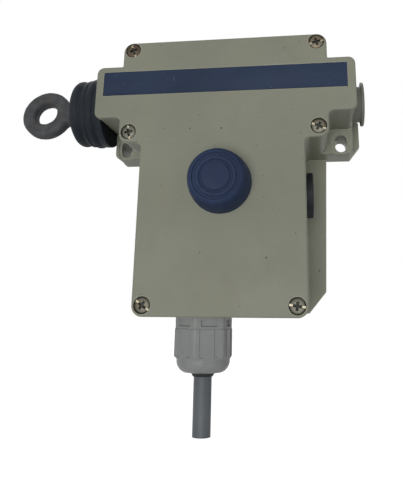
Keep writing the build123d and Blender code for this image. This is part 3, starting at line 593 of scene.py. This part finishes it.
def forged_eye():
    """Copy of the eye's mesh with its joints flowed together and its skin made slightly uneven."""
    eye = bpy.data.objects.new("pull_eye_forging", bpy.data.objects["pull_eye"].data.copy())
    bpy.context.scene.collection.objects.link(eye)
    remesh = eye.modifiers.new("join", "REMESH")
    remesh.mode = "VOXEL"
    remesh.voxel_size = skin_voxel
    remesh.use_smooth_shade = True
    smooth = eye.modifiers.new("flow", "SMOOTH")
    smooth.factor = 0.5
    smooth.iterations = 4
    graph = bpy.context.evaluated_depsgraph_get()
    final = bpy.data.meshes.new_from_object(eye.evaluated_get(graph))
    eye.modifiers.clear()
    eye.data = final
    for vertex in final.vertices:
        place = vertex.co * forging_waves
        vertex.co += vertex.normal * noise.noise(place) * forging_wave_height * MM
    final.shade_smooth()
    return eye


eye = dress(forged_eye(), "forged_steel")
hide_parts("pull_eye")
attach(eye, "pull")

# Floor, light and camera

floor_drop, floor_reach = 0.03, 4
floor_grey, floor_glow, room_light = 0.45, 0.8, 0.24
white = (1, 1, 1, 1)


def seen_directly(tree, first_kind, *other_kinds):
    """A value of 1 for rays of these kinds, and 0 for the light that falls on the object."""
    rays = tree.nodes.new("ShaderNodeLightPath")
    share = rays.outputs[first_kind]
    for kind in other_kinds:
        either = tree.nodes.new("ShaderNodeMath")
        either.operation = "MAXIMUM"
        tree.links.new(share, either.inputs[0])
        tree.links.new(rays.outputs[kind], either.inputs[1])
        share = either.outputs[0]
    return share


floor_z = cad_low.z - floor_drop
corner_sides = [(-1, -1), (1, -1), (1, 1), (-1, 1)]
floor_corners = [(x * floor_reach, y * floor_reach, floor_z) for x, y in corner_sides]
floor = piece_from("floor", floor_corners, [(0, 1, 2, 3)], smooth=False)
floor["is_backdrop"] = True
# The key light stands a little below the horizon, so the floor has to let it through
floor.visible_shadow = False

pale = bpy.data.materials.new("pale_floor")
pale.use_nodes = True
tree = pale.node_tree
shader = tree.nodes["Principled BSDF"]
shader.inputs["Base Color"].default_value = (floor_grey, floor_grey, floor_grey, 1)
shader.inputs["Roughness"].default_value = 0.9
shader.inputs["Emission Color"].default_value = white
glow = tree.nodes.new("ShaderNodeMath")
glow.operation = "MULTIPLY"
tree.links.new(seen_directly(tree, "Is Camera Ray", "Is Glossy Ray"), glow.inputs[0])
glow.inputs[1].default_value = floor_glow
tree.links.new(glow.outputs[0], shader.inputs["Emission Strength"])
floor.data.materials.append(pale)

world = bpy.data.worlds.new("studio")
bpy.context.scene.world = world
world.use_nodes = True
tree = world.node_tree
background = tree.nodes["Background"]
background.inputs["Color"].default_value = white
level = tree.nodes.new("ShaderNodeMapRange")
seen = seen_directly(tree, "Is Camera Ray", "Is Transmission Ray", "Is Glossy Ray")
tree.links.new(seen, level.inputs["Value"])
level.inputs["To Min"].default_value = room_light
level.inputs["To Max"].default_value = 1.0
tree.links.new(level.outputs["Result"], background.inputs["Strength"])


def soft_light(name, towards, strength, width):
    """Broad even light that comes from a direction."""
    lamp = bpy.data.lights.new(name, "SUN")
    lamp.energy = strength
    lamp.angle = math.radians(width)
    holder = bpy.data.objects.new(name, lamp)
    bpy.context.scene.collection.objects.link(holder)
    holder.rotation_mode = "QUATERNION"
    holder.rotation_quaternion = Vector(towards).to_track_quat("Z", "Y")


soft_light("key", (-0.05, -1, -0.2), 2.2, 40)
soft_light("back", (-0.3, 1, 0.6), 1.5, 90)

# Camera fitted to the photograph, with as much lens shift as the other views have room for

camera_place = (0.0482, -0.33483, -0.09377)
camera_right = (0.99219, 0.12454, 0.00688)
camera_back = (0.12177, -0.95531, -0.26937)
focal_length, film_width = 42.179, 36
shift_right, shift_up = -0.09, -0.18

lens = bpy.data.cameras.new("camera")
camera = bpy.data.objects.new("camera", lens)
bpy.context.scene.collection.objects.link(camera)
bpy.context.scene.camera = camera
lens.sensor_width = film_width
lens.lens = focal_length
lens.shift_x = shift_right
lens.shift_y = shift_up
lens.clip_start = 0.01
right = Vector(camera_right).normalized()
back = Vector(camera_back).normalized()
up = back.cross(right).normalized()
turn = Matrix((right, up, back)).transposed().to_4x4()
camera.matrix_world = Matrix.Translation(camera_place) @ turn

bpy.context.scene.view_settings.view_transform = "Standard"

low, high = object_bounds()
